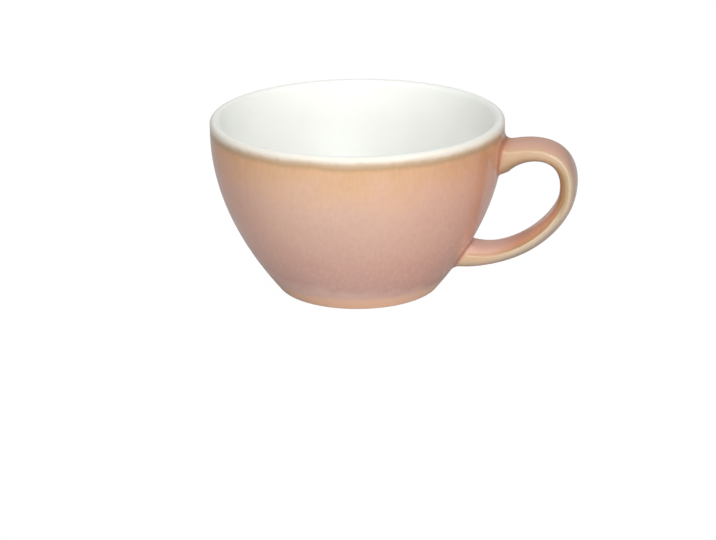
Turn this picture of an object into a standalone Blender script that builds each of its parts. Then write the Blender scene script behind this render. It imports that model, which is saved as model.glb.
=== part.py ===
"""A latte cup: a stoneware bowl on a foot ring, a strap handle luted on with slip, and its glaze coats.

Units are metres and +Z is up. The cup stands on z = 0 with its handle along +X, and the middle of its
footprint is at the origin. Until the last step every piece is built around the bowl's own axis.
"""

import math

import bmesh
import bpy
from mathutils import Vector

# Bowl
RIM_RADIUS = 0.0545
HEIGHT = 0.0653
FOOT_RADIUS = 0.0299
UPRIGHT_BAND = 0.0051
LIP_RADIUS = 0.00175
FLOOR_HEIGHT = 0.007
INNER_DEPTH_POWER = 1.33
INNER_ROUND_POWER = 0.56

# Foot ring under the bowl
FOOT_EDGE = 0.0008
FOOT_RING_WIDTH = 0.0045
FOOT_RECESS = 0.0025
RECESS_DRAFT = 0.0006

# Glaze coats, and the gap kept between pieces that touch
GLAZE = 0.0004
GAP = 0.0001
LINER_OVERLAP = 0.0013

# Handle: a strap along a curve from the upper root over its outermost point to the lower root
UPPER_ROOT_CLEARANCE = 0.0024
UPPER_ROOT_RISE = math.radians(15.4)
UPPER_ROOT_PULL = 0.0213
REACH = 0.0784
REACH_DROP = 0.0153
REACH_LEAN = math.radians(9.2)
REACH_PULL_UP = 0.0111
REACH_PULL_DOWN = 0.01
LOWER_ROOT_HEIGHT = 0.0132
LOWER_ROOT_PULL = 0.0235
ROOT_DEPTH = 0.005
STRAP_WIDTH = 0.016
STRAP_THICKNESS = 0.0061
STRAP_SQUARENESS = 2.8

# How much the strap thickens toward its roots: under the upper one, and above and under the lower one
UPPER_FLARE = 0.0049
UPPER_FLARE_LENGTH = 0.0085
LOWER_INNER_FLARE = 0.0027
LOWER_OUTER_FLARE = 0.0005
LOWER_FLARE_LENGTH = 0.0086

# Slip fillets round the two roots: on the strap's outer face, where they differ, and on its inner face
UPPER_OUTER_FILLET = 0.004
LOWER_OUTER_FILLET = 0.0022
INNER_FILLET = 0.0018

# Heights that follow from the rim: where the wall turns upright, and two places on the strap
UPRIGHT_HEIGHT = HEIGHT - UPRIGHT_BAND
UPPER_ROOT_HEIGHT = HEIGHT - LIP_RADIUS - UPPER_ROOT_CLEARANCE - UPPER_OUTER_FILLET - STRAP_THICKNESS / 2
REACH_HEIGHT = UPPER_ROOT_HEIGHT - REACH_DROP

# Fineness of the meshes
TURN_STEPS = 48
WALL_STEPS = 9
INNER_STEPS = 11
LIP_STEPS = 3
EDGE_STEPS = 4
STRAP_STEPS = 16
SECTION_STEPS = 20
FILLET_STEPS = 4
SLOPE_STEP = 0.0001
WELD_DISTANCE = 0.000001
SHARP_ANGLE = math.radians(40)


def clear_scene():
    for thing in list(bpy.data.objects):
        bpy.data.objects.remove(thing, do_unlink=True)


def material(name, colour, roughness):
    made = bpy.data.materials.new(name)
    made.use_nodes = True
    shader = made.node_tree.nodes["Principled BSDF"]
    shader.inputs["Base Color"].default_value = (*colour, 1)
    shader.inputs["Roughness"].default_value = roughness
    shader.inputs["Metallic"].default_value = 0
    made.diffuse_color = (*colour, 1)
    return made


def add_object(name, mesh_builder, parent, skin=None):
    """Link a finished bmesh under the cup's empty. One without a material is a cutter and isn't rendered."""
    bmesh.ops.recalc_face_normals(mesh_builder, faces=mesh_builder.faces)
    mesh = bpy.data.meshes.new(name)
    mesh_builder.to_mesh(mesh)
    mesh_builder.free()
    mesh.shade_smooth()
    mesh.set_sharp_from_angle(angle=SHARP_ANGLE)
    thing = bpy.data.objects.new(name, mesh)
    thing.parent = parent
    bpy.context.collection.objects.link(thing)
    if skin:
        mesh.materials.append(skin)
    else:
        thing.hide_render = True
        thing.display_type = "WIRE"
    return thing


def cut(thing, cutter):
    boolean = thing.modifiers.new("cut " + cutter.name, "BOOLEAN")
    boolean.operation = "DIFFERENCE"
    boolean.solver = "EXACT"
    boolean.object = cutter


# Curves, as lists of points


def bend(start, corner, end, steps):
    """A rounded corner: a quadratic curve that leaves start and reaches end along the lines to the corner."""
    points = []
    for step in range(steps + 1):
        share = step / steps
        points.append(start * (1 - share) ** 2 + corner * 2 * share * (1 - share) + end * share**2)
    return points


def bezier(start, start_pull, end_pull, end, steps):
    points = []
    for step in range(steps + 1):
        share = step / steps
        rest = 1 - share
        points.append(
            start * rest**3
            + start_pull * 3 * rest**2 * share
            + end_pull * 3 * rest * share**2
            + end * share**3
        )
    return points


def shifted(line, distance):
    """A profile line moved to its right-hand side by a distance. A point on the axis stays on it."""
    moved = []
    for index, here in enumerate(line):
        before = line[max(index - 1, 0)]
        after = line[min(index + 1, len(line) - 1)]
        along = ((here - before).normalized() + (after - here).normalized()).normalized()
        sideways = Vector((along.y, -along.x))
        if here.x == 0:
            sideways = Vector((0, -math.copysign(1, along.x)))
        moved.append(here + sideways * distance)
    return moved


# Profiles of the bowl: x is the radius and y is the height


def wall_radius(height):
    """The outside: a parabola that widens from the foot and stands upright below the lip."""
    depth = max(0, 1 - height / UPRIGHT_HEIGHT)
    return RIM_RADIUS - (RIM_RADIUS - FOOT_RADIUS) * depth**2


def lip_arc(first_angle, last_angle, steps):
    points = []
    for step in range(steps + 1):
        angle = first_angle + (last_angle - first_angle) * step / steps
        radius = RIM_RADIUS - LIP_RADIUS + LIP_RADIUS * math.cos(angle)
        points.append(Vector((radius, HEIGHT - LIP_RADIUS + LIP_RADIUS * math.sin(angle))))
    return points


def liner_angle():
    """How far round the lip's outer side the two glazes meet."""
    return math.asin((LIP_RADIUS - LINER_OVERLAP) / LIP_RADIUS)


def foot_edge_line():
    start = Vector((wall_radius(FOOT_EDGE), FOOT_EDGE))
    return bend(start, Vector((FOOT_RADIUS, 0)), Vector((FOOT_RADIUS - FOOT_EDGE, 0)), EDGE_STEPS)


def outer_line():
    """The glazed outside, from the edge of the liner glaze down to the middle of the foot's edge."""
    line = lip_arc(liner_angle() - GAP / LIP_RADIUS, 0, 1)
    for step in range(WALL_STEPS):
        height = UPRIGHT_HEIGHT + (FOOT_EDGE - UPRIGHT_HEIGHT) * step / WALL_STEPS
        line.append(Vector((wall_radius(height), height)))
    return line + foot_edge_line()[: EDGE_STEPS // 2 + 1]


def inner_line():
    """The glazed inside, from the middle of the floor up the wall and over the lip."""
    top_radius = RIM_RADIUS - 2 * LIP_RADIUS
    line = [Vector((0, FLOOR_HEIGHT))]
    for step in range(1, INNER_STEPS + 1):
        angle = math.pi / 2 * (1 - step / INNER_STEPS)
        depth = (UPRIGHT_HEIGHT - FLOOR_HEIGHT) * math.sin(angle) ** INNER_DEPTH_POWER
        radius = top_radius * math.cos(angle) ** INNER_ROUND_POWER
        line.append(Vector((radius, UPRIGHT_HEIGHT - depth)))
    line += lip_arc(math.pi, math.pi / 2, LIP_STEPS)
    return line + lip_arc(math.pi / 2, liner_angle(), LIP_STEPS)[1:]


def surface_line(depth):
    """The whole glazed surface, inside and then outside, at a depth under it."""
    return shifted(inner_line() + outer_line(), depth)


def inside_profile():
    seam = len(inner_line())
    return surface_line(0)[:seam] + list(reversed(surface_line(GLAZE)[:seam]))


def outside_profile():
    seam = len(inner_line())
    return surface_line(0)[seam:] + list(reversed(surface_line(GLAZE)[seam:]))


def body_profile():
    """The bare clay: under both glazes, then the bare foot ring and the recess inside it."""
    profile = surface_line(GLAZE + GAP)
    profile += foot_edge_line()[EDGE_STEPS // 2 + 1 :]
    ring_inner = FOOT_RADIUS - FOOT_EDGE - FOOT_RING_WIDTH
    profile.append(Vector((ring_inner, 0)))
    profile.append(Vector((ring_inner - RECESS_DRAFT, FOOT_RECESS)))
    profile.append(Vector((0, FOOT_RECESS)))
    return profile


def turned(profile, closed):
    """A solid turned round the bowl's axis. A profile that isn't closed starts and ends on the axis."""
    shape = bmesh.new()
    corners = [shape.verts.new((point.x, 0, point.y)) for point in profile]
    edges = [shape.edges.new(pair) for pair in zip(corners, corners[1:])]
    if closed:
        edges.append(shape.edges.new((corners[-1], corners[0])))
    bmesh.ops.spin(
        shape, geom=corners + edges, axis=(0, 0, 1), angle=2 * math.pi, steps=TURN_STEPS, use_merge=True
    )
    bmesh.ops.remove_doubles(shape, verts=shape.verts, dist=WELD_DISTANCE)
    return shape


# The handle's strap, as rings of points along its curve


def strap_curve():
    """Points along the middle of the strap, in the plane y = 0, from inside one root to inside the other."""
    upper = Vector((wall_radius(UPPER_ROOT_HEIGHT), UPPER_ROOT_HEIGHT))
    lower = Vector((wall_radius(LOWER_ROOT_HEIGHT), LOWER_ROOT_HEIGHT))
    reach = Vector((REACH, REACH_HEIGHT))
    rise = Vector((math.cos(UPPER_ROOT_RISE), math.sin(UPPER_ROOT_RISE)))
    fall = Vector((-math.sin(REACH_LEAN), -math.cos(REACH_LEAN)))
    upper_pull = upper + rise * UPPER_ROOT_PULL
    lower_pull = lower + Vector((LOWER_ROOT_PULL, 0))
    first = bezier(upper, upper_pull, reach - fall * REACH_PULL_UP, reach, STRAP_STEPS)
    second = bezier(reach, reach + fall * REACH_PULL_DOWN, lower_pull, lower, STRAP_STEPS)
    return [upper - rise * ROOT_DEPTH, *first, *second[1:], lower - Vector((ROOT_DEPTH, 0))]


def signed_power(value, power):
    return math.copysign(abs(value) ** power, value)


def strap_section(outer_flare, inner_flare, inset):
    """The strap's outline, a squarish ellipse, as (across, outward) places and the way each one faces."""
    half_width = STRAP_WIDTH / 2
    points = []
    for step in range(SECTION_STEPS):
        angle = 2 * math.pi * step / SECTION_STEPS
        side = math.cos(angle)
        out = math.sin(angle)
        half_thickness = STRAP_THICKNESS / 2 + (outer_flare if out > 0 else inner_flare)
        power = 2 / STRAP_SQUARENESS
        place = Vector((half_width * signed_power(side, power), half_thickness * signed_power(out, power)))
        power = 2 - power
        facing = Vector((signed_power(side, power) / half_width, signed_power(out, power) / half_thickness))
        facing.normalize()
        points.append((place - facing * inset, facing))
    return points


def strap_rings(inset):
    """Rings of (place, facing) pairs. The strap thickens toward both roots."""
    curve = strap_curve()
    lengths = [0]
    for before, after in zip(curve, curve[1:]):
        lengths.append(lengths[-1] + (after - before).length)
    rings = []
    for index, middle in enumerate(curve):
        along = (curve[min(index + 1, len(curve) - 1)] - curve[max(index - 1, 0)]).normalized()
        outward = Vector((-along.y, 0, along.x))
        from_upper = max(0, lengths[index] - ROOT_DEPTH) / UPPER_FLARE_LENGTH
        from_lower = max(0, lengths[-1] - ROOT_DEPTH - lengths[index]) / LOWER_FLARE_LENGTH
        outer_flare = LOWER_OUTER_FLARE * math.exp(-(from_lower**2))
        inner_flare = LOWER_INNER_FLARE * math.exp(-(from_lower**2)) + UPPER_FLARE * math.exp(-from_upper)
        ring = []
        for place, facing in strap_section(outer_flare, inner_flare, inset):
            centre = Vector((middle.x, 0, middle.y))
            spot = centre + Vector((0, place.x, 0)) + outward * place.y
            ring.append((spot, Vector((0, facing.x, 0)) + outward * facing.y))
        rings.append(ring)
    return rings


def skin_rings(shape, rings, capped):
    """Faces between rings of points. Capped, the ends are filled; otherwise the last ring joins the first."""
    loops = [[shape.verts.new(spot) for spot in ring] for ring in rings]
    pairs = list(zip(loops, loops[1:]))
    if capped:
        shape.faces.new(loops[0])
        shape.faces.new(loops[-1])
    else:
        pairs.append((loops[-1], loops[0]))
    for first, second in pairs:
        for index in range(len(first)):
            after = (index + 1) % len(first)
            shape.faces.new((first[index], first[after], second[after], second[index]))
    return shape


def on_wall(spot):
    """The point moved straight to or from the axis onto the glazed wall."""
    scale = wall_radius(spot.z) / math.hypot(spot.x, spot.y)
    return Vector((spot.x * scale, spot.y * scale, spot.z))


def wall_normal(spot):
    slope = (wall_radius(spot.z + SLOPE_STEP) - wall_radius(spot.z - SLOPE_STEP)) / (2 * SLOPE_STEP)
    radial = Vector((spot.x, spot.y, 0)).normalized()
    return (radial - Vector((0, 0, slope))).normalized()


def point_at(line, index):
    """The point on a line of points at a fractional index."""
    whole = min(int(index), len(line) - 2)
    return line[whole].lerp(line[whole + 1], index - whole)


def index_after(line, index, distance):
    """The fractional index that lies a distance further along a line of points."""
    whole = int(index)
    left = (line[whole + 1] - point_at(line, index)).length
    while distance > left:
        distance -= left
        whole += 1
        left = (line[whole + 1] - line[whole]).length
        index = whole
    return index + distance / (line[whole + 1] - line[whole]).length


def leaves_wall(line):
    """Where a line of points that starts inside the wall comes out of it, as a fractional index."""
    depths = [math.hypot(spot.x, spot.y) - wall_radius(spot.z) for spot in line]
    for index in range(len(line) - 1):
        if depths[index] < 0 <= depths[index + 1]:
            return index + depths[index] / (depths[index] - depths[index + 1])
    raise ValueError("the handle's root doesn't leave the wall")


def strap_lines(inset, from_lower=False):
    """The strap's lengthwise lines, one for each point of its section, starting inside the wall."""
    rings = strap_rings(inset)
    if from_lower:
        rings.reverse()
    return list(zip(*rings))


def fillet_lengths(from_lower):
    """The length of a root's fillet on each of the strap's lengthwise lines."""
    outer_fillet = LOWER_OUTER_FILLET if from_lower else UPPER_OUTER_FILLET
    middle = (outer_fillet + INNER_FILLET) / 2
    swing = (outer_fillet - INNER_FILLET) / 2
    return [middle + swing * facing.y for place, facing in strap_section(0, 0, 0)]


def root_fillet(from_lower, margin=0):
    """Rings of a root's fillet: one under the strap's glaze, then on the strap, and the last on the wall."""
    columns = []
    lines = strap_lines(0, from_lower)
    deeper_lines = strap_lines(GLAZE + 2 * GAP, from_lower)
    for line, deeper, length in zip(lines, deeper_lines, fillet_lengths(from_lower)):
        places = [place for place, facing in line]
        crossing = leaves_wall(places)
        corner = point_at(places, crossing)
        start_index = index_after(places, crossing, length)
        facing = line[int(crossing)][1]
        normal = wall_normal(corner)
        aside = (facing - normal * facing.dot(normal)).normalized()
        end = on_wall(corner + aside * (length + margin))
        under_glaze = point_at([place for place, facing in deeper], start_index)
        columns.append([under_glaze, *bend(point_at(places, start_index), corner, end, FILLET_STEPS)])
    return list(zip(*columns))


def sleeve_rings(inset):
    """Rings along the strap from one fillet to the other, each lengthwise line cut to its own ends."""
    columns = []
    lengths = zip(fillet_lengths(False), fillet_lengths(True))
    for line, deeper, (upper_length, lower_length) in zip(strap_lines(0), strap_lines(inset), lengths):
        places = [place for place, facing in line]
        backward = list(reversed(places))
        first = index_after(places, leaves_wall(places), upper_length + GAP)
        last = len(places) - 1 - index_after(backward, leaves_wall(backward), lower_length + GAP)
        column = []
        for step in range(2 * STRAP_STEPS + 1):
            index = first + (last - first) * step / (2 * STRAP_STEPS)
            column.append(point_at([place for place, facing in deeper], index))
        columns.append(column)
    return list(zip(*columns))


def core_rings(inset):
    """Rings of the strap's clay, which follow its glaze and run through the fillets into the wall."""
    ends = strap_rings(inset)
    upper_end = [place for place, facing in ends[0]]
    lower_end = [place for place, facing in ends[-1]]
    return [upper_end, *sleeve_rings(inset), lower_end]


# The pieces


def add_wall_core(parent):
    """Cutter: the whole space inside the outside glaze, which the handle and its slip stay out of."""
    side = surface_line(GLAZE)[len(inner_line()) :]
    profile = [Vector((0, side[0].y)), *side, Vector((0, side[-1].y))]
    return add_object("wall_core", turned(profile, closed=False), parent)


def add_strap_core(parent):
    """Cutter: the handle's clay and the gap round it."""
    return add_object("strap_core", skin_rings(bmesh.new(), core_rings(GLAZE), capped=True), parent)


def add_cup_body(parent):
    clay = material("bare stoneware", (0.72, 0.62, 0.50), 0.8)
    return add_object("cup_body", turned(body_profile(), closed=False), parent, clay)


def add_liner_glaze(parent):
    white = material("white liner glaze", (0.88, 0.88, 0.85), 0.15)
    return add_object("liner_glaze", turned(inside_profile(), closed=False), parent, white)


def add_root_cutter(name, from_lower, parent):
    """Cutter: the patch of wall that a root's fillet covers, with a gap round it."""
    edge = root_fillet(from_lower, margin=GAP)[-1]
    middle = sum(edge, Vector()) / len(edge)
    through = wall_normal(middle) * ROOT_DEPTH
    rings = [[spot + through for spot in edge], [spot - through for spot in edge]]
    return add_object(name, skin_rings(bmesh.new(), rings, capped=True), parent)


def add_wall_glaze(parent):
    pink = material("pink wall glaze", (0.61, 0.38, 0.27), 0.25)
    glaze = add_object("wall_glaze", turned(outside_profile(), closed=True), parent, pink)
    cut(glaze, add_root_cutter("upper_root_patch", False, parent))
    cut(glaze, add_root_cutter("lower_root_patch", True, parent))
    return glaze


def add_handle(wall_core, parent):
    clay = material("handle stoneware", (0.72, 0.62, 0.50), 0.8)
    shape = skin_rings(bmesh.new(), core_rings(GLAZE + GAP), capped=True)
    handle = add_object("handle", shape, parent, clay)
    cut(handle, wall_core)
    return handle


def add_handle_glaze(parent):
    """A sleeve of glaze on the strap, from one fillet to the other."""
    cream = material("cream handle glaze", (0.68, 0.46, 0.30), 0.25)
    rings = sleeve_rings(0) + list(reversed(sleeve_rings(GLAZE)))
    return add_object("handle_glaze", skin_rings(bmesh.new(), rings, capped=False), parent, cream)


def add_slip(name, from_lower, wall_core, strap_core, parent):
    """The slip that lutes a root to the wall, pressed out into a fillet round the strap."""
    slip = material(name.replace("_", " "), (0.63, 0.40, 0.28), 0.3)
    rings = root_fillet(from_lower)
    wall_edge = [spot - wall_normal(spot) * ROOT_DEPTH for spot in rings[-1]]
    piece = add_object(name, skin_rings(bmesh.new(), [*rings, wall_edge], capped=True), parent, slip)
    cut(piece, wall_core)
    cut(piece, strap_core)
    return piece


def stand_on_middle(parent, pieces):
    """Move the whole cup along X until the middle of its footprint is at the origin."""
    across = [corner.co.x for piece in pieces for corner in piece.data.vertices]
    parent.location.x = -(min(across) + max(across)) / 2


def main():
    clear_scene()
    cup = bpy.data.objects.new("latte_cup", None)
    bpy.context.collection.objects.link(cup)
    wall_core = add_wall_core(cup)
    strap_core = add_strap_core(cup)
    add_cup_body(cup)
    add_liner_glaze(cup)
    wall_glaze = add_wall_glaze(cup)
    add_handle(wall_core, cup)
    handle_glaze = add_handle_glaze(cup)
    add_slip("upper_handle_slip", False, wall_core, strap_core, cup)
    add_slip("lower_handle_slip", True, wall_core, strap_core, cup)
    stand_on_middle(cup, [wall_glaze, handle_glaze])


main()
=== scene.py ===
"""The latte cup's finished look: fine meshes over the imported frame, glazes, a white studio and the camera."""

import math

import bmesh
import bpy
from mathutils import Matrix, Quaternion, Vector


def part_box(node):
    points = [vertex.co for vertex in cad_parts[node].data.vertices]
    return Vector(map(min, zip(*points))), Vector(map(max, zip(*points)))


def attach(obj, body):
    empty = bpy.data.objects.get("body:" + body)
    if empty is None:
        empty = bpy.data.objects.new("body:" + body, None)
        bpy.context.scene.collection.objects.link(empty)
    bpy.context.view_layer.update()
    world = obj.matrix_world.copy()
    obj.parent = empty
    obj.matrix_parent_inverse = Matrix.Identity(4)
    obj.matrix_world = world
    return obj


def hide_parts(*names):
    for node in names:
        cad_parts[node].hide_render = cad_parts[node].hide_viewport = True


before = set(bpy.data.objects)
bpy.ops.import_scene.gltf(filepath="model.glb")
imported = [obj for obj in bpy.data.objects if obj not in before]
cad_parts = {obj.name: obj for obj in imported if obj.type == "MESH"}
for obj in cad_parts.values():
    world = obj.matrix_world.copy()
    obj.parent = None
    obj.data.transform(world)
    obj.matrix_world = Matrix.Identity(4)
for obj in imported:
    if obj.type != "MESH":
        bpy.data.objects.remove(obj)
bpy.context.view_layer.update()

# Sizes that the frame gives. All lengths here are in metres
wall_low, wall_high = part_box("wall_glaze")
AXIS = Vector(((wall_low.x + wall_high.x) / 2, 0, 0))
RIM_RADIUS = (wall_high.y - wall_low.y) / 2
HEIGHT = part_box("liner_glaze")[1].z
strap_low, strap_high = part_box("handle_glaze")
STRAP_WIDTH = strap_high.y - strap_low.y

# Bowl and foot, as in the part
FOOT_RADIUS = 0.0299
UPRIGHT_BAND = 0.0051
UPRIGHT_HEIGHT = HEIGHT - UPRIGHT_BAND
LIP_RADIUS = 0.00175
FLOOR_HEIGHT = 0.007
INNER_DEPTH_POWER = 1.33
INNER_ROUND_POWER = 0.56
FOOT_EDGE = 0.0008
FOOT_RING_WIDTH = 0.0045
FOOT_RECESS = 0.0025
RECESS_DRAFT = 0.0006
GLAZE = 0.0004
FUSED_GAP = 0.0001
LINER_OVERLAP = 0.0013

# Strap handle, as in the part
UPPER_OUTER_FILLET = 0.004
LOWER_OUTER_FILLET = 0.0022
INNER_FILLET = 0.0018
STRAP_THICKNESS = 0.0061
STRAP_SQUARENESS = 2.8
UPPER_ROOT_CLEARANCE = 0.0024
UPPER_ROOT_RISE = math.radians(15.4)
UPPER_ROOT_PULL = 0.0213
REACH = 0.0784
REACH_DROP = 0.0153
REACH_LEAN = math.radians(9.2)
REACH_PULL_UP = 0.0111
REACH_PULL_DOWN = 0.01
LOWER_ROOT_HEIGHT = 0.0132
LOWER_ROOT_PULL = 0.0235
ROOT_DEPTH = 0.005
UPPER_FLARE = 0.0049
UPPER_FLARE_LENGTH = 0.0085
LOWER_INNER_FLARE = 0.0027
LOWER_OUTER_FLARE = 0.0005
LOWER_FLARE_LENGTH = 0.0086
UPPER_ROOT_HEIGHT = HEIGHT - LIP_RADIUS - UPPER_ROOT_CLEARANCE - UPPER_OUTER_FILLET - STRAP_THICKNESS / 2
REACH_HEIGHT = UPPER_ROOT_HEIGHT - REACH_DROP

# Fineness of the meshes
COLUMNS = 192
FILLET_STEPS = 10
CURVE_STEPS = 60
STRAP_RINGS = 120
LIP_STEPS = 12
LIP_EDGE_STEPS = 3
INNER_STEPS = 60
EDGE_STEPS = 12
CORNER_STEPS = 4
SLOPE_STEP = 0.0001
WELD_DISTANCE = 1e-7

# Each root's patch of the wall: top and bottom, and a grid with as many edge points as the strap's section
UPPER_PATCH = (HEIGHT - 0.0022, 0.0405)
LOWER_PATCH = (0.0240, 0.0028)
PATCH_COLUMNS = 24
PATCH_ROWS = 24
PATCH_RINGS = 5
MARGIN_ROWS = 2

# Across a fillet, from 0 on the strap to 1 on the wall: where its dark crease lies, and where a painted
# highlight, a pale line toward the wall, lies
CREASE_START = 0.3
CREASE_SPAN = 0.6
ROOT_HIGHLIGHT_START = 5 / 6

# Patterns: noise scales, finer as they grow, and how far each pattern shifts the edges of colours
MOTTLE_SCALE = 420
CLAY_GRAIN_SCALE = 1600
CLAY_CLOUD_SCALE = 110
EDGE_CLOUD_SCALE = 90
LINER_CLOUD_SCALE = 60
WALL_CLOUD_SCALE = 70
STREAK_SCALE = 950
STREAK_STRETCH = (1, 1, 0.22)
WALL_SWAY = 0.016
EDGE_SWAY = 0.0010
EDGE_MOTTLE = 0.0008
LINER_MOTTLE = 0.0012
STRAP_MOTTLE = 0.06

# Fades: where each starts, where it is full, and how strong it is there if that is less than 1
STREAK_FADE = (0.45, 0.7, 0.3)
MOTTLE_FADE = (0.45, 0.75, 0.14)
CREASE_FADE = (0, 1, 0.7)
ROOT_HIGHLIGHT_FADE = (0, 1, 0.4)
FOOT_FADE = (0.0070, 0.0034, 0.9)
RIM_BAND = 0.0060
RIM_BAND_FADE = (RIM_BAND, 0.6 * RIM_BAND)
BEND_FADE = (0.14, 0.40)
LOWER_HALF_FADE = (0.52, 0.66)
LOWER_ROOT_FADE = (0.82, 0.95)
GLOSS_FADE = (0.3, 0.7)
CREAM_FADE = (RIM_RADIUS - LIP_RADIUS, RIM_RADIUS, 0.8)
CLOUD_FADE = (0.35, 0.65)
GROG_FADE = (0.62, 0.74, 0.6)

# Surfaces
GLAZE_ROUGHNESS = (0.13, 0.16)
LINER_ROUGHNESS = 0.3
CLAY_ROUGHNESS = (0.72, 0.92)
LINER_RELIEF = 0.05
CLAY_RELIEF = 0.4
RELIEF_DEPTH = 0.0002

# Shades, written as on a screen from 0 to 255. The tint is a share of the light
# Painted shade: this tint darkens and deepens the bowl toward its handle end and the end opposite, its two
# sides
SIDE_SHADE_TINT = (0.85, 0.65, 0.60, 1)
STREAK_SHADE = (232, 197, 172)
MOTTLE_SHADE = (200, 156, 145)
CREASE_SHADE = (176, 116, 94)
# Painted highlight: a pale line beside each root where its fillet meets the wall
ROOT_HIGHLIGHT_SHADE = (236, 192, 158)
FOOT_SHADE = (252, 206, 173)
LINER_SHADES = ((248, 249, 245), (250, 251, 247))
CREAM_SHADE = (245, 237, 220)
CLAY_SHADES = ((226, 213, 194), (234, 223, 206))
GROG_SHADE = (176, 150, 122)

# Shades up the wall, by shares of the cup's height
WALL_SHADES = (
    (0.10, (228, 192, 180)),
    (0.16, (213, 171, 159)),
    (0.30, (217, 172, 157)),
    (0.50, (222, 181, 163)),
    (0.68, (226, 187, 166)),
    (0.78, (230, 188, 160)),
    (0.85, (228, 185, 147)),
    (0.91, (225, 181, 139)),
)

# Shades down the band under the lip, by shares of its depth: midway along the bowl, and at its two ends, where
# they are darker as painted shade
BAND_SHADES = (
    (0.24, (242, 235, 223)),
    (0.36, (230, 212, 190)),
    (0.45, (214, 190, 163)),
    (0.57, (206, 175, 142)),
    (0.70, (199, 163, 125)),
)
SIDE_SHADED_BAND_SHADES = (
    (0.25, (244, 237, 226)),
    (0.36, (232, 213, 192)),
    (0.46, (206, 181, 153)),
    (0.58, (186, 157, 126)),
    (0.70, (178, 145, 112)),
)

# Shades across the strap, from 0 on its inner face to 1 on its outer, at four places along it. Besides the
# glaze's own colours, some stops are painted light: pale highlight stops along the narrow sides, painted shade
# at the lower half's outer edge, and a lightened inner face by the lower root
UPPER_ROOT_SHADES = (
    (0.03, (176, 146, 116)),
    (0.20, (203, 168, 133)),
    (0.50, (213, 182, 150)),
    (0.84, (197, 163, 133)),
    (1.00, (213, 168, 149)),
)
BEND_SHADES_AND_HIGHLIGHT = (
    (0.03, (192, 126, 84)),
    (0.12, (188, 148, 112)),
    (0.34, (165, 128, 91)),
    (0.50, (190, 160, 122)),
    # Painted highlight along the narrow side round the bend
    (0.62, (212, 191, 163)),
    (0.82, (199, 180, 155)),
    (1.00, (194, 158, 139)),
)
LOWER_HALF_SHADES_HIGHLIGHT_AND_SHADE = (
    (0.02, (225, 170, 141)),
    (0.10, (208, 158, 124)),
    (0.29, (177, 137, 98)),
    # Painted highlight along the narrow side
    (0.43, (226, 202, 172)),
    # Painted shade: greyer toward the outer edge
    (0.60, (190, 174, 151)),
    (0.80, (168, 153, 137)),
    (0.98, (194, 159, 142)),
)
LOWER_ROOT_SHADES_AND_PAINTED_LIGHT = (
    # Painted light: the inner face lightened by the root
    (0.02, (250, 211, 194)),
    (0.16, (216, 176, 145)),
    # Painted highlight along the narrow side
    (0.44, (223, 188, 153)),
    (0.62, (202, 179, 152)),
    (0.98, (200, 166, 147)),
)

# Camera and picture
PICTURE_WIDTH = 716
FOCAL_PIXELS = 2135
SENSOR_WIDTH = 36
CAMERA_AZIMUTH = math.radians(10.4)
CAMERA_AWAY = 0.7610
CAMERA_HEIGHT = 0.2793
AIM_HEIGHT = 0.0046
AIM_ASIDE = -0.0003
CAMERA_ROLL = math.radians(0.6)

# Studio: light levels are those of a white surface
WHITE = (1, 1, 1, 1)
WORLD_LIGHT = 0.16
FLOOR_SIZE = 8
FLOOR_ALBEDO = 0.55
FLOOR_GAP = 0.0001
FLOOR_GLOW = 1.08
CAMERA_SHARE = 0.9
MIRROR_SHARE = 0.1


# Curves, as lists of points


def bend(start, corner, end, steps):
    """A rounded corner: a quadratic curve that leaves start and reaches end along the lines to the corner."""
    points = []
    for step in range(steps + 1):
        share = step / steps
        points.append(start * (1 - share) ** 2 + corner * 2 * share * (1 - share) + end * share**2)
    return points


def bezier(start, start_pull, end_pull, end, steps):
    points = []
    for step in range(steps + 1):
        share = step / steps
        rest = 1 - share
        points.append(
            start * rest**3
            + start_pull * 3 * rest**2 * share
            + end_pull * 3 * rest * share**2
            + end * share**3
        )
    return points


def spaced(first, last, steps):
    """Even values from first up to, but without, last."""
    return [first + (last - first) * step / steps for step in range(steps)]


def shifted(line, distance):
    """A profile line moved to its right-hand side by a distance. A point on the axis stays on it."""
    moved = []
    for index, here in enumerate(line):
        before = line[max(index - 1, 0)]
        after = line[min(index + 1, len(line) - 1)]
        along = ((here - before).normalized() + (after - here).normalized()).normalized()
        sideways = Vector((along.y, -along.x))
        if here.x == 0:
            sideways = Vector((0, -math.copysign(1, along.x)))
        moved.append(here + sideways * distance)
    return moved


def point_at(line, index):
    """The point on a line of points at a fractional index."""
    whole = min(int(index), len(line) - 2)
    return line[whole].lerp(line[whole + 1], index - whole)


def index_after(line, index, distance):
    """The fractional index that lies a distance further along a line of points."""
    whole = int(index)
    left = (line[whole + 1] - point_at(line, index)).length
    while distance > left:
        distance -= left
        whole += 1
        left = (line[whole + 1] - line[whole]).length
        index = whole
    return index + distance / (line[whole + 1] - line[whole]).length


def direction(azimuth, elevation):
    """The direction from the cup toward something round it. Azimuth 0 is along -Y, and it grows toward +X."""
    flat = math.cos(elevation)
    return Vector((math.sin(azimuth) * flat, -math.cos(azimuth) * flat, math.sin(elevation)))


# Profiles of the bowl: x is the radius and y is the height


def wall_radius(height):
    depth = max(0, 1 - height / UPRIGHT_HEIGHT)
    return RIM_RADIUS - (RIM_RADIUS - FOOT_RADIUS) * depth**2


def wall_line(heights):
    return [Vector((wall_radius(height), height)) for height in heights]


def lip_arc(first_angle, last_angle, steps):
    points = []
    for step in range(steps + 1):
        angle = first_angle + (last_angle - first_angle) * step / steps
        radius = RIM_RADIUS - LIP_RADIUS + LIP_RADIUS * math.cos(angle)
        points.append(Vector((radius, HEIGHT - LIP_RADIUS + LIP_RADIUS * math.sin(angle))))
    return points


def liner_angle():
    """How far round the lip's outer side the two glazes meet."""
    return math.asin((LIP_RADIUS - LINER_OVERLAP) / LIP_RADIUS)


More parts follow.
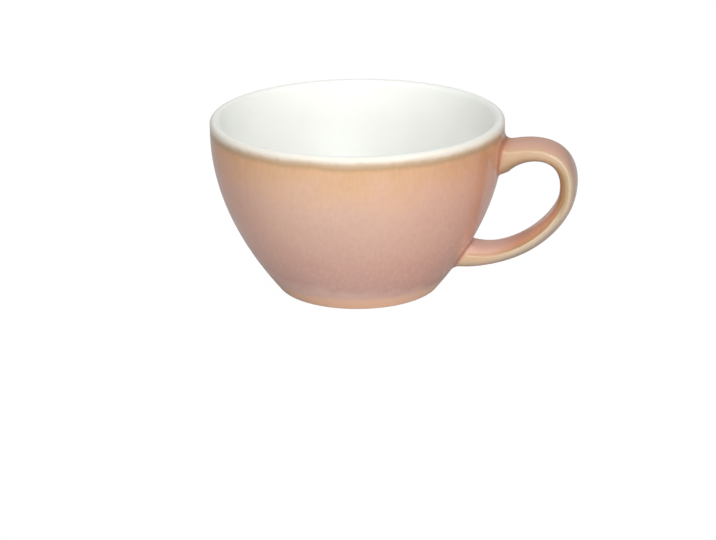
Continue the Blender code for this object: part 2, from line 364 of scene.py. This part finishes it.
def foot_edge_line():
    start = Vector((wall_radius(FOOT_EDGE), FOOT_EDGE))
    return bend(start, Vector((FOOT_RADIUS, 0)), Vector((FOOT_RADIUS - FOOT_EDGE, 0)), EDGE_STEPS)


def outer_rows():
    """The outside's profile from the liner's edge to the foot, and the first row of each root's patch."""
    rows = lip_arc(liner_angle(), 0, LIP_EDGE_STEPS)
    rows += wall_line(spaced(HEIGHT - LIP_RADIUS, UPPER_PATCH[0], MARGIN_ROWS)[1:])
    upper_start = len(rows)
    rows += wall_line(spaced(*UPPER_PATCH, PATCH_ROWS))
    rows += wall_line(spaced(UPPER_PATCH[1], LOWER_PATCH[0], PATCH_ROWS))
    lower_start = len(rows)
    rows += wall_line(spaced(*LOWER_PATCH, PATCH_ROWS))
    rows += wall_line(spaced(LOWER_PATCH[1], FOOT_EDGE, MARGIN_ROWS))
    rows += foot_edge_line()[: EDGE_STEPS // 2 + 1]
    return rows, upper_start, lower_start


def inner_line():
    """The glazed inside, from the middle of the floor up the wall and over the lip."""
    top_radius = RIM_RADIUS - 2 * LIP_RADIUS
    line = [Vector((0, FLOOR_HEIGHT))]
    for step in range(1, INNER_STEPS + 1):
        angle = math.pi / 2 * (1 - step / INNER_STEPS)
        depth = (UPRIGHT_HEIGHT - FLOOR_HEIGHT) * math.sin(angle) ** INNER_DEPTH_POWER
        radius = top_radius * math.cos(angle) ** INNER_ROUND_POWER
        line.append(Vector((radius, UPRIGHT_HEIGHT - depth)))
    line += lip_arc(math.pi, math.pi / 2, LIP_STEPS)
    return line + lip_arc(math.pi / 2, liner_angle(), LIP_STEPS)[1:]


def body_profile():
    """The bare clay: under both glazes, then the bare foot ring and the recess inside it."""
    profile = shifted(inner_line() + outer_rows()[0][1:], GLAZE + FUSED_GAP)
    profile += foot_edge_line()[EDGE_STEPS // 2 + 1 :]
    ring_inner = FOOT_RADIUS - FOOT_EDGE - FOOT_RING_WIDTH
    ring_corner = Vector((ring_inner, 0))
    recess_corner = Vector((ring_inner - RECESS_DRAFT, FOOT_RECESS))
    inward = Vector((-RECESS_DRAFT, 0))
    upward = Vector((0, RECESS_DRAFT))
    profile += bend(ring_corner - inward, ring_corner, ring_corner + upward, CORNER_STEPS)
    profile += bend(recess_corner - upward, recess_corner, recess_corner + inward, CORNER_STEPS)
    profile.append(Vector((0, FOOT_RECESS)))
    return profile


# The strap handle, as lines of points along it


def strap_curve():
    """The strap's middle as (from the axis, height) points, from inside one root to inside the other."""
    upper = Vector((wall_radius(UPPER_ROOT_HEIGHT), UPPER_ROOT_HEIGHT))
    lower = Vector((wall_radius(LOWER_ROOT_HEIGHT), LOWER_ROOT_HEIGHT))
    reach = Vector((REACH, REACH_HEIGHT))
    rise = Vector((math.cos(UPPER_ROOT_RISE), math.sin(UPPER_ROOT_RISE)))
    fall = Vector((-math.sin(REACH_LEAN), -math.cos(REACH_LEAN)))
    upper_pull = upper + rise * UPPER_ROOT_PULL
    lower_pull = lower + Vector((LOWER_ROOT_PULL, 0))
    first = bezier(upper, upper_pull, reach - fall * REACH_PULL_UP, reach, CURVE_STEPS)
    second = bezier(reach, reach + fall * REACH_PULL_DOWN, lower_pull, lower, CURVE_STEPS)
    return [upper - rise * ROOT_DEPTH, *first, *second[1:], lower - Vector((ROOT_DEPTH, 0))]


def signed_power(value, power):
    return math.copysign(abs(value) ** power, value)


def strap_section(outer_flare=0, inner_flare=0):
    """The strap's outline, a squarish ellipse, as (place, facing) pairs, round from one corner."""
    half_width = STRAP_WIDTH / 2
    steps = 2 * PATCH_COLUMNS + 2 * PATCH_ROWS
    points = []
    for step in range(steps):
        angle = math.pi / 4 + 2 * math.pi * step / steps
        side = math.cos(angle)
        out = math.sin(angle)
        half_thickness = STRAP_THICKNESS / 2 + (outer_flare if out > 0 else inner_flare)
        power = 2 / STRAP_SQUARENESS
        place = Vector((half_width * signed_power(side, power), half_thickness * signed_power(out, power)))
        power = 2 - power
        facing = Vector((signed_power(side, power) / half_width, signed_power(out, power) / half_thickness))
        points.append((place, facing.normalized()))
    return points


def strap_lines():
    """Lengthwise lines of (place, facing) pairs. The strap thickens toward both roots."""
    curve = strap_curve()
    lengths = [0]
    for before, after in zip(curve, curve[1:]):
        lengths.append(lengths[-1] + (after - before).length)
    rings = []
    for index, middle in enumerate(curve):
        along = (curve[min(index + 1, len(curve) - 1)] - curve[max(index - 1, 0)]).normalized()
        outward = Vector((-along.y, 0, along.x))
        from_upper = max(0, lengths[index] - ROOT_DEPTH) / UPPER_FLARE_LENGTH
        from_lower = max(0, lengths[-1] - ROOT_DEPTH - lengths[index]) / LOWER_FLARE_LENGTH
        outer_flare = LOWER_OUTER_FLARE * math.exp(-(from_lower**2))
        inner_flare = LOWER_INNER_FLARE * math.exp(-(from_lower**2)) + UPPER_FLARE * math.exp(-from_upper)
        ring = []
        for place, facing in strap_section(outer_flare, inner_flare):
            spot = Vector((middle.x, place.x, middle.y)) + outward * place.y
            ring.append((spot, Vector((0, facing.x, 0)) + outward * facing.y))
        rings.append(ring)
    return list(zip(*rings))


def wall_point(angle, height):
    radius = wall_radius(height)
    return Vector((radius * math.cos(angle), radius * math.sin(angle), height))


def wall_normal(spot):
    slope = (wall_radius(spot.z + SLOPE_STEP) - wall_radius(spot.z - SLOPE_STEP)) / (2 * SLOPE_STEP)
    radial = Vector((spot.x, spot.y, 0)).normalized()
    return (radial - Vector((0, 0, slope))).normalized()


def leaves_wall(line):
    """Where a line of points that starts inside the wall comes out of it, as a fractional index."""
    depths = [math.hypot(spot.x, spot.y) - wall_radius(spot.z) for spot in line]
    for index in range(len(line) - 1):
        if depths[index] < 0 <= depths[index + 1]:
            return index + depths[index] / (depths[index] - depths[index + 1])
    raise ValueError("the handle's root doesn't leave the wall")


def root_fillet(lines, outer_fillet):
    """Rings of a root's fillet, from the strap to the wall, and where on its line each strap end lies."""
    middle = (outer_fillet + INNER_FILLET) / 2
    swing = (outer_fillet - INNER_FILLET) / 2
    columns = []
    starts = []
    for line, (_, section_facing) in zip(lines, strap_section()):
        places = [place for place, _ in line]
        crossing = leaves_wall(places)
        corner = point_at(places, crossing)
        length = middle + swing * section_facing.y
        start = index_after(places, crossing, length)
        facing = line[int(crossing)][1]
        normal = wall_normal(corner)
        aside = (facing - normal * facing.dot(normal)).normalized()
        end = corner + aside * length
        end = wall_point(math.atan2(end.y, end.x), end.z)
        columns.append(bend(point_at(places, start), corner, end, FILLET_STEPS))
        starts.append(start)
    return list(zip(*columns)), starts


def strap_rings(lines, upper_starts, lower_starts):
    """Rings of the strap between its two fillets."""
    rings = []
    for step in range(1, STRAP_RINGS):
        ring = []
        for line, first, last in zip(lines, upper_starts, lower_starts):
            places = [place for place, _ in line]
            index = first + (len(places) - 1 - last - first) * step / STRAP_RINGS
            ring.append(point_at(places, index))
        rings.append(ring)
    return rings


# Meshes


def add_piece(name, shape, material):
    """A finished bmesh as a smooth object that rides with the cup. It is built round the bowl's axis."""
    bmesh.ops.translate(shape, verts=shape.verts, vec=AXIS)
    mesh = bpy.data.meshes.new(name)
    shape.to_mesh(mesh)
    shape.free()
    mesh.shade_smooth()
    mesh.materials.append(material)
    piece = bpy.data.objects.new(name, mesh)
    bpy.context.collection.objects.link(piece)
    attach(piece, "root")
    return piece


def turned(profile):
    """A solid turned round the bowl's axis from a profile that starts and ends on the axis."""
    shape = bmesh.new()
    corners = [shape.verts.new((point.x, 0, point.y)) for point in profile]
    edges = [shape.edges.new(pair) for pair in zip(corners, corners[1:])]
    bmesh.ops.spin(
        shape, geom=corners + edges, axis=(0, 0, 1), angle=2 * math.pi, steps=COLUMNS, use_merge=True
    )
    bmesh.ops.remove_doubles(shape, verts=shape.verts, dist=WELD_DISTANCE)
    bmesh.ops.recalc_face_normals(shape, faces=shape.faces)
    return shape


def add_wall_grid(shape, rows, patch_starts):
    """The wall's points, which are returned row by row, and its faces outside the roots' patches."""
    in_patch = set()
    for first_row in patch_starts:
        for row in range(first_row, first_row + PATCH_ROWS):
            for column in range(-PATCH_COLUMNS // 2, PATCH_COLUMNS // 2):
                in_patch.add((row, column % COLUMNS))
    turns = [2 * math.pi * column / COLUMNS for column in range(COLUMNS)]
    grid = []
    for point in rows:
        spots = [(point.x * math.cos(turn), point.x * math.sin(turn), point.y) for turn in turns]
        grid.append([shape.verts.new(spot) for spot in spots])
    for row in range(len(rows) - 1):
        for column in range(COLUMNS):
            if (row, column) not in in_patch:
                after = (column + 1) % COLUMNS
                corners = (grid[row][column], grid[row + 1][column], grid[row + 1][after], grid[row][after])
                shape.faces.new(corners)
    return grid


def patch_edge(grid, first_row, outward_up):
    """The wall's grid points round a root's patch, in the order of the strap's section."""
    half = PATCH_COLUMNS // 2
    last_row = first_row + PATCH_ROWS
    top, bottom = (first_row, last_row) if outward_up else (last_row, first_row)
    down = 1 if outward_up else -1
    edge = [(top, column) for column in range(half, -half, -1)]
    edge += [(row, -half) for row in range(top, bottom, down)]
    edge += [(bottom, column) for column in range(-half, half)]
    edge += [(row, half) for row in range(bottom, top, -down)]
    return [grid[row][column % COLUMNS] for row, column in edge]


def patch_rings(edge, fillet_end):
    """Rings on the wall between a patch's edge and the end of its fillet."""
    rings = []
    for step in range(1, PATCH_RINGS):
        share = step / PATCH_RINGS
        ring = []
        for outside, inside in zip(edge, fillet_end):
            outside_turn = math.atan2(outside.co.y, outside.co.x)
            inside_turn = math.atan2(inside.y, inside.x)
            angle = (1 - share) * outside_turn + share * inside_turn
            ring.append(wall_point(angle, (1 - share) * outside.co.z + share * inside.z))
        rings.append(ring)
    return rings


def join_rings(shape, rings):
    for first, second in zip(rings, rings[1:]):
        for index in range(len(first)):
            after = (index + 1) % len(first)
            shape.faces.new((first[index], first[after], second[after], second[index]))


def outer_coat_shape():
    """The coat over the wall, both slip fillets and the strap, as one surface.

    Five values are kept at each point. strap is 1 on the handle and fades out over its roots. facing goes
    from 0 on the strap's inner face, through its narrow sides, to 1 on its outer face. along goes from 0 at
    the upper root to 1 at the lower. crease is 1 in the hollow of a fillet, and the fifth value is 1 where a
    fillet meets the wall, where a pale highlight is painted.
    """
    shape = bmesh.new()
    layers = [shape.verts.layers.float.new(name) for name in ("strap", "facing", "along", "crease", "root_highlight")]
    rows, upper_start, lower_start = outer_rows()
    grid = add_wall_grid(shape, rows, (upper_start, lower_start))
    lines = strap_lines()
    backward = [tuple(reversed(line)) for line in lines]
    upper_fillet, upper_starts = root_fillet(lines, UPPER_OUTER_FILLET)
    lower_fillet, lower_starts = root_fillet(backward, LOWER_OUTER_FILLET)
    upper_edge = patch_edge(grid, upper_start, True)
    lower_edge = patch_edge(grid, lower_start, False)

    def add_ring(spots, along, strap=0, crease=0, root_highlight=0):
        ring = [shape.verts.new(spot) for spot in spots]
        for point, (_, facing) in zip(ring, strap_section()):
            values = (strap, 0.5 + facing.y / 2, along, crease, root_highlight)
            for layer, value in zip(layers, values):
                point[layer] = value
        return ring

    def add_fillet_ring(rings, along, step):
        share = step / FILLET_STEPS
        crease = max(0, math.sin(math.pi * (share - CREASE_START) / CREASE_SPAN))
        # Painted highlight: a pale line toward the fillet's wall end
        root_highlight = max(0, (share - ROOT_HIGHLIGHT_START) / (1 - ROOT_HIGHLIGHT_START))
        return add_ring(rings[step], along, (1 - share) ** 2, crease, root_highlight)

    loops = [upper_edge]
    loops += [add_ring(ring, 0) for ring in patch_rings(upper_edge, upper_fillet[-1])]
    loops += [add_fillet_ring(upper_fillet, 0, step) for step in range(FILLET_STEPS, -1, -1)]
    for step, ring in enumerate(strap_rings(lines, upper_starts, lower_starts), 1):
        loops.append(add_ring(ring, step / STRAP_RINGS, 1))
    loops += [add_fillet_ring(lower_fillet, 1, step) for step in range(FILLET_STEPS + 1)]
    loops += [add_ring(ring, 1) for ring in reversed(patch_rings(lower_edge, lower_fillet[-1]))]
    loops.append(lower_edge)
    join_rings(shape, loops)
    loose = [point for point in shape.verts if not point.link_faces]
    bmesh.ops.delete(shape, geom=loose, context="VERTS")
    bmesh.ops.recalc_face_normals(shape, faces=shape.faces)
    return shape


def add_outer_coat(material):
    coat = add_piece("outer_coat", outer_coat_shape(), material)
    thickness = coat.modifiers.new("coat thickness", "SOLIDIFY")
    thickness.thickness = GLAZE
    thickness.offset = -1
    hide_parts("wall_glaze", "handle_glaze", "upper_handle_slip", "lower_handle_slip")


def add_liner_coat(material):
    line = inner_line()
    coat = add_piece("liner_coat", turned(line + list(reversed(shifted(line, GLAZE)))), material)
    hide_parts("liner_glaze")


def add_stoneware_body(material):
    body = add_piece("stoneware_body", turned(body_profile()), material)
    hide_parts("cup_body")


# Shader nodes


def new_material(name):
    material = bpy.data.materials.new(name)
    material.use_nodes = True
    tree = material.node_tree
    return material, tree, tree.nodes["Principled BSDF"]


def add_node(tree, kind, inputs=(), **settings):
    """A shader node with its settings, and its inputs given by name or number as a value or a socket."""
    node = tree.nodes.new("ShaderNode" + kind)
    for name, value in settings.items():
        setattr(node, name, value)
    for key, value in dict(inputs).items():
        if isinstance(value, bpy.types.NodeSocket):
            tree.links.new(value, node.inputs[key])
        else:
            node.inputs[key].default_value = value
    return node


def colour(shade):
    """A shade written as on a screen, as the linear light that a shader takes, by the sRGB curve."""
    channels = []
    for value in shade:
        share = value / 255
        channels.append(share / 12.92 if share <= 0.04045 else ((share + 0.055) / 1.055) ** 2.4)
    return (*channels, 1)


def object_place(tree):
    return add_node(tree, "TexCoord").outputs["Object"]


def coordinate(tree, place, axis):
    return add_node(tree, "SeparateXYZ", {"Vector": place}).outputs[axis]


def shape_value(tree, name):
    """A value that the coat's mesh keeps at each point."""
    return add_node(tree, "Attribute", attribute_name=name).outputs["Fac"]


def noise(tree, place, scale, detail=3):
    return add_node(tree, "TexNoise", {"Vector": place, "Scale": scale, "Detail": detail}).outputs["Fac"]


def calculate(tree, operation, first, second):
    return add_node(tree, "Math", {0: first, 1: second}, operation=operation).outputs[0]


def drift(tree, pattern, span):
    """A noise pattern as a shift to either side of zero, over a span in all."""
    return calculate(tree, "MULTIPLY", calculate(tree, "SUBTRACT", pattern, 0.5), span)


def fade(tree, value, start, end, most=1):
    """0 at start, and smoothly the most at end."""
    inputs = {"Value": value, "From Min": start, "From Max": end, "To Max": most}
    return add_node(tree, "MapRange", inputs, interpolation_type="SMOOTHSTEP").outputs["Result"]


def between(tree, share, low, high):
    """A value from low to high, for a share from 0 to 1."""
    return add_node(tree, "MapRange", {"Value": share, "To Min": low, "To Max": high}).outputs["Result"]


def blend(tree, share, below, above, how="MIX"):
    """The colour above laid over the colour below by a share. 6 and 7 are the mix node's two colours."""
    node = add_node(tree, "Mix", {"Factor": share, 6: below, 7: above}, data_type="RGBA", blend_type=how)
    return node.outputs[2]


def ramp(tree, value, shades):
    """A colour ramp through (position, shade) pairs."""
    node = add_node(tree, "ValToRGB", {"Fac": value})
    stops = node.color_ramp.elements
    for stop, (position, shade) in zip(stops, (shades[0], shades[-1])):
        stop.position = position
        stop.color = colour(shade)
    for position, shade in shades[1:-1]:
        stops.new(position).color = colour(shade)
    return node.outputs["Color"]


def add_relief(tree, shader, pattern, strength):
    relief = add_node(tree, "Bump", {"Strength": strength, "Distance": RELIEF_DEPTH, "Height": pattern})
    tree.links.new(relief.outputs["Normal"], shader.inputs["Normal"])


# Materials


def side_shade_share(tree, place):
    """0 midway along the bowl, and 1 at its handle end and at the end opposite: where the painted shade on the
    bowl's sides is full.
    """
    lengthwise = coordinate(tree, place, "X")
    from_middle = calculate(tree, "DIVIDE", calculate(tree, "SUBTRACT", lengthwise, AXIS.x), RIM_RADIUS)
    return calculate(tree, "MULTIPLY", from_middle, from_middle)


def wall_colour(tree, place, height, mottle):
    """Peach under the lip, pink below and mauve near the foot; with painted shade, deeper and darker, toward
    the handle and opposite it.
    """
    cloud = noise(tree, place, WALL_CLOUD_SCALE, detail=2)
    stretched = add_node(tree, "Mapping", {"Vector": place, "Scale": STREAK_STRETCH}).outputs["Vector"]
    streak = noise(tree, stretched, STREAK_SCALE, detail=2)
    swayed = calculate(tree, "ADD", height, drift(tree, cloud, WALL_SWAY))
    shade = ramp(tree, calculate(tree, "DIVIDE", swayed, HEIGHT), WALL_SHADES)
    shade = blend(tree, fade(tree, streak, *STREAK_FADE), shade, colour(STREAK_SHADE))
    shade = blend(tree, fade(tree, mottle, *MOTTLE_FADE), shade, colour(MOTTLE_SHADE))
    # Painted shade: darker and deeper toward the handle end and the end opposite
    return blend(tree, side_shade_share(tree, place), shade, SIDE_SHADE_TINT, "MULTIPLY")


def handle_colour(tree, mottle):
    """Cream on the strap's narrow sides, partly glaze and partly painted highlight, pink on its wide faces and
    browner round the bend; with painted shade at the lower half's outer edge and painted light on the inner
    face by the lower root.
    """
    facing = calculate(tree, "ADD", shape_value(tree, "facing"), drift(tree, mottle, STRAP_MOTTLE))
    along = shape_value(tree, "along")
    shade = ramp(tree, facing, UPPER_ROOT_SHADES)
    # These ramps carry painted highlights and painted shade as well as the glaze's colours
    shade = blend(tree, fade(tree, along, *BEND_FADE), shade, ramp(tree, facing, BEND_SHADES_AND_HIGHLIGHT))
    shade = blend(tree, fade(tree, along, *LOWER_HALF_FADE), shade, ramp(tree, facing, LOWER_HALF_SHADES_HIGHLIGHT_AND_SHADE))
    return blend(tree, fade(tree, along, *LOWER_ROOT_FADE), shade, ramp(tree, facing, LOWER_ROOT_SHADES_AND_PAINTED_LIGHT))


def edge_colours(tree, shade, place, height, mottle):
    """The pale foot, and the cream and tan band under the lip where the two glazes run together, darker at the
    bowl's two ends as painted shade.
    """
    slow = drift(tree, noise(tree, place, EDGE_CLOUD_SCALE, detail=1), EDGE_SWAY)
    quick = drift(tree, mottle, EDGE_MOTTLE)
    wavering = calculate(tree, "ADD", height, calculate(tree, "ADD", slow, quick))
    shade = blend(tree, fade(tree, wavering, *FOOT_FADE), shade, colour(FOOT_SHADE))
    depth = calculate(tree, "SUBTRACT", HEIGHT, wavering)
    share = calculate(tree, "DIVIDE", depth, RIM_BAND)
    middle_band = ramp(tree, share, BAND_SHADES)
    # Painted shade: the band darkens toward the bowl's two ends
    band = blend(tree, side_shade_share(tree, place), middle_band, ramp(tree, share, SIDE_SHADED_BAND_SHADES))
    return blend(tree, fade(tree, depth, *RIM_BAND_FADE), shade, band)


def outer_glaze_material():
    """The reactive glaze on the wall and the handle, breaking to cream and brown on edges and in hollows, with
    painted highlights on the strap and beside its roots, and painted shade on the bowl's sides.
    """
    material, tree, shader = new_material("reactive_pink_glaze")
    place = object_place(tree)
    height = coordinate(tree, place, "Z")
    mottle = noise(tree, place, MOTTLE_SCALE)
    shade = wall_colour(tree, place, height, mottle)
    shade = blend(tree, shape_value(tree, "strap"), shade, handle_colour(tree, mottle))
    crease = fade(tree, shape_value(tree, "crease"), *CREASE_FADE)
    # Painted highlight: a pale line beside each root where its fillet meets the wall
    root_highlight = fade(tree, shape_value(tree, "root_highlight"), *ROOT_HIGHLIGHT_FADE)
    shade = blend(tree, crease, shade, colour(CREASE_SHADE))
    shade = blend(tree, root_highlight, shade, colour(ROOT_HIGHLIGHT_SHADE))
    shade = edge_colours(tree, shade, place, height, mottle)
    tree.links.new(shade, shader.inputs["Base Color"])
    gloss = fade(tree, mottle, *GLOSS_FADE)
    tree.links.new(between(tree, gloss, *GLAZE_ROUGHNESS), shader.inputs["Roughness"])
    return material


def liner_material():
    """The white glossy glaze inside, faintly cloudy, with a cream edge where it meets the outer glaze."""
    material, tree, shader = new_material("white_liner_glaze")
    place = object_place(tree)
    flat = add_node(tree, "VectorMath", {0: place, 1: (1, 1, 0), 2: -AXIS}, operation="MULTIPLY_ADD")
    from_axis = add_node(tree, "VectorMath", {0: flat.outputs["Vector"]}, operation="LENGTH").outputs["Value"]
    cloud = noise(tree, place, LINER_CLOUD_SCALE)
    mottle = noise(tree, place, MOTTLE_SCALE)
    shade = blend(tree, fade(tree, cloud, *CLOUD_FADE), *map(colour, LINER_SHADES))
    wavering = calculate(tree, "ADD", from_axis, drift(tree, mottle, LINER_MOTTLE))
    shade = blend(tree, fade(tree, wavering, *CREAM_FADE), shade, colour(CREAM_SHADE))
    tree.links.new(shade, shader.inputs["Base Color"])
    shader.inputs["Roughness"].default_value = LINER_ROUGHNESS
    add_relief(tree, shader, mottle, LINER_RELIEF)
    return material


def stoneware_material(name):
    """Bare fired clay: pale, matt and sanded smooth, with fine grog."""
    material, tree, shader = new_material(name)
    place = object_place(tree)
    cloud = noise(tree, place, CLAY_CLOUD_SCALE)
    grain = noise(tree, place, CLAY_GRAIN_SCALE)
    shade = blend(tree, fade(tree, cloud, *CLOUD_FADE), *map(colour, CLAY_SHADES))
    shade = blend(tree, fade(tree, grain, *GROG_FADE), shade, colour(GROG_SHADE))
    tree.links.new(shade, shader.inputs["Base Color"])
    tree.links.new(between(tree, grain, *CLAY_ROUGHNESS), shader.inputs["Roughness"])
    add_relief(tree, shader, grain, CLAY_RELIEF)
    return material


# Studio


def glow_share(tree):
    """The white glow that a ray meets: most for the camera's own, some for mirrored and clear ones."""
    path = add_node(tree, "LightPath").outputs
    mirrored = calculate(tree, "MAXIMUM", path["Is Glossy Ray"], path["Is Transmission Ray"])
    mirrored = calculate(tree, "MULTIPLY", mirrored, MIRROR_SHARE)
    direct = calculate(tree, "MULTIPLY", path["Is Camera Ray"], CAMERA_SHARE)
    return calculate(tree, "MAXIMUM", direct, mirrored)


def add_floor():
    """A floor just under the foot, so that the two flat faces don't coincide."""
    bpy.ops.mesh.primitive_plane_add(size=FLOOR_SIZE, location=(0, 0, -FLOOR_GAP))
    floor = bpy.context.object
    floor.name = "studio_floor"
    material, tree, shader = new_material("studio_white")
    shader.inputs["Base Color"].default_value = (FLOOR_ALBEDO, FLOOR_ALBEDO, FLOOR_ALBEDO, 1)
    shader.inputs["Roughness"].default_value = 1
    shader.inputs["Specular IOR Level"].default_value = 0
    glow = add_node(tree, "Emission", {"Color": WHITE, "Strength": FLOOR_GLOW})
    mixed = add_node(tree, "MixShader", {0: glow_share(tree), 1: shader.outputs[0], 2: glow.outputs[0]})
    tree.links.new(mixed.outputs[0], tree.nodes["Material Output"].inputs["Surface"])
    floor.data.materials.append(material)


def add_world():
    world = bpy.data.worlds.new("studio")
    bpy.context.scene.world = world
    world.use_nodes = True
    tree = world.node_tree
    strength = between(tree, glow_share(tree), WORLD_LIGHT, FLOOR_GLOW)
    tree.nodes["Background"].inputs["Color"].default_value = WHITE
    tree.links.new(strength, tree.nodes["Background"].inputs["Strength"])


def add_softbox(name, azimuth, elevation, distance, size, level, mirrored=True):
    """A rectangular lamp that faces the cup, placed in degrees. A white surface facing it shows the level."""
    lamp = bpy.data.lights.new(name, "AREA")
    lamp.shape = "RECTANGLE"
    lamp.size, lamp.size_y = size
    lamp.energy = level * (math.pi * distance) ** 2
    holder = bpy.data.objects.new(name, lamp)
    toward = direction(math.radians(azimuth), math.radians(elevation))
    middle = AXIS + Vector((0, 0, HEIGHT / 2))
    holder.location = middle + toward * distance
    holder.rotation_euler = toward.to_track_quat("Z", "Y").to_euler()
    holder.visible_glossy = mirrored
    bpy.context.collection.objects.link(holder)


def add_camera():
    lens = bpy.data.cameras.new("camera")
    lens.sensor_fit = "HORIZONTAL"
    lens.sensor_width = SENSOR_WIDTH
    lens.lens = SENSOR_WIDTH * FOCAL_PIXELS / PICTURE_WIDTH
    camera = bpy.data.objects.new("camera", lens)
    sideways = direction(CAMERA_AZIMUTH + math.pi / 2, 0)
    camera.location = AXIS + direction(CAMERA_AZIMUTH, 0) * CAMERA_AWAY + Vector((0, 0, CAMERA_HEIGHT))
    aim = AXIS + sideways * AIM_ASIDE + Vector((0, 0, AIM_HEIGHT))
    facing = (aim - camera.location).to_track_quat("-Z", "Y")
    camera.rotation_euler = (facing @ Quaternion((0, 0, 1), -CAMERA_ROLL)).to_euler()
    bpy.context.collection.objects.link(camera)
    bpy.context.scene.camera = camera


def main():
    add_outer_coat(outer_glaze_material())
    add_liner_coat(liner_material())
    add_stoneware_body(stoneware_material("bare_stoneware_clay"))
    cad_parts["handle"].data.materials[0] = stoneware_material("handle_stoneware_clay")

    add_floor()
    add_world()
    add_softbox("key", azimuth=27, elevation=22, distance=1.4, size=(1.2, 1.0), level=0.7)
    add_softbox("low", azimuth=-3, elevation=6, distance=1.4, size=(0.8, 0.2), level=0.15)
    add_softbox("top", azimuth=-40, elevation=76, distance=1.2, size=(0.9, 0.9), level=0.43, mirrored=False)
    add_softbox("back", azimuth=190, elevation=26, distance=1.6, size=(0.8, 0.6), level=0.4, mirrored=False)
    add_camera()
    bpy.context.scene.view_settings.view_transform = "Standard"


main()
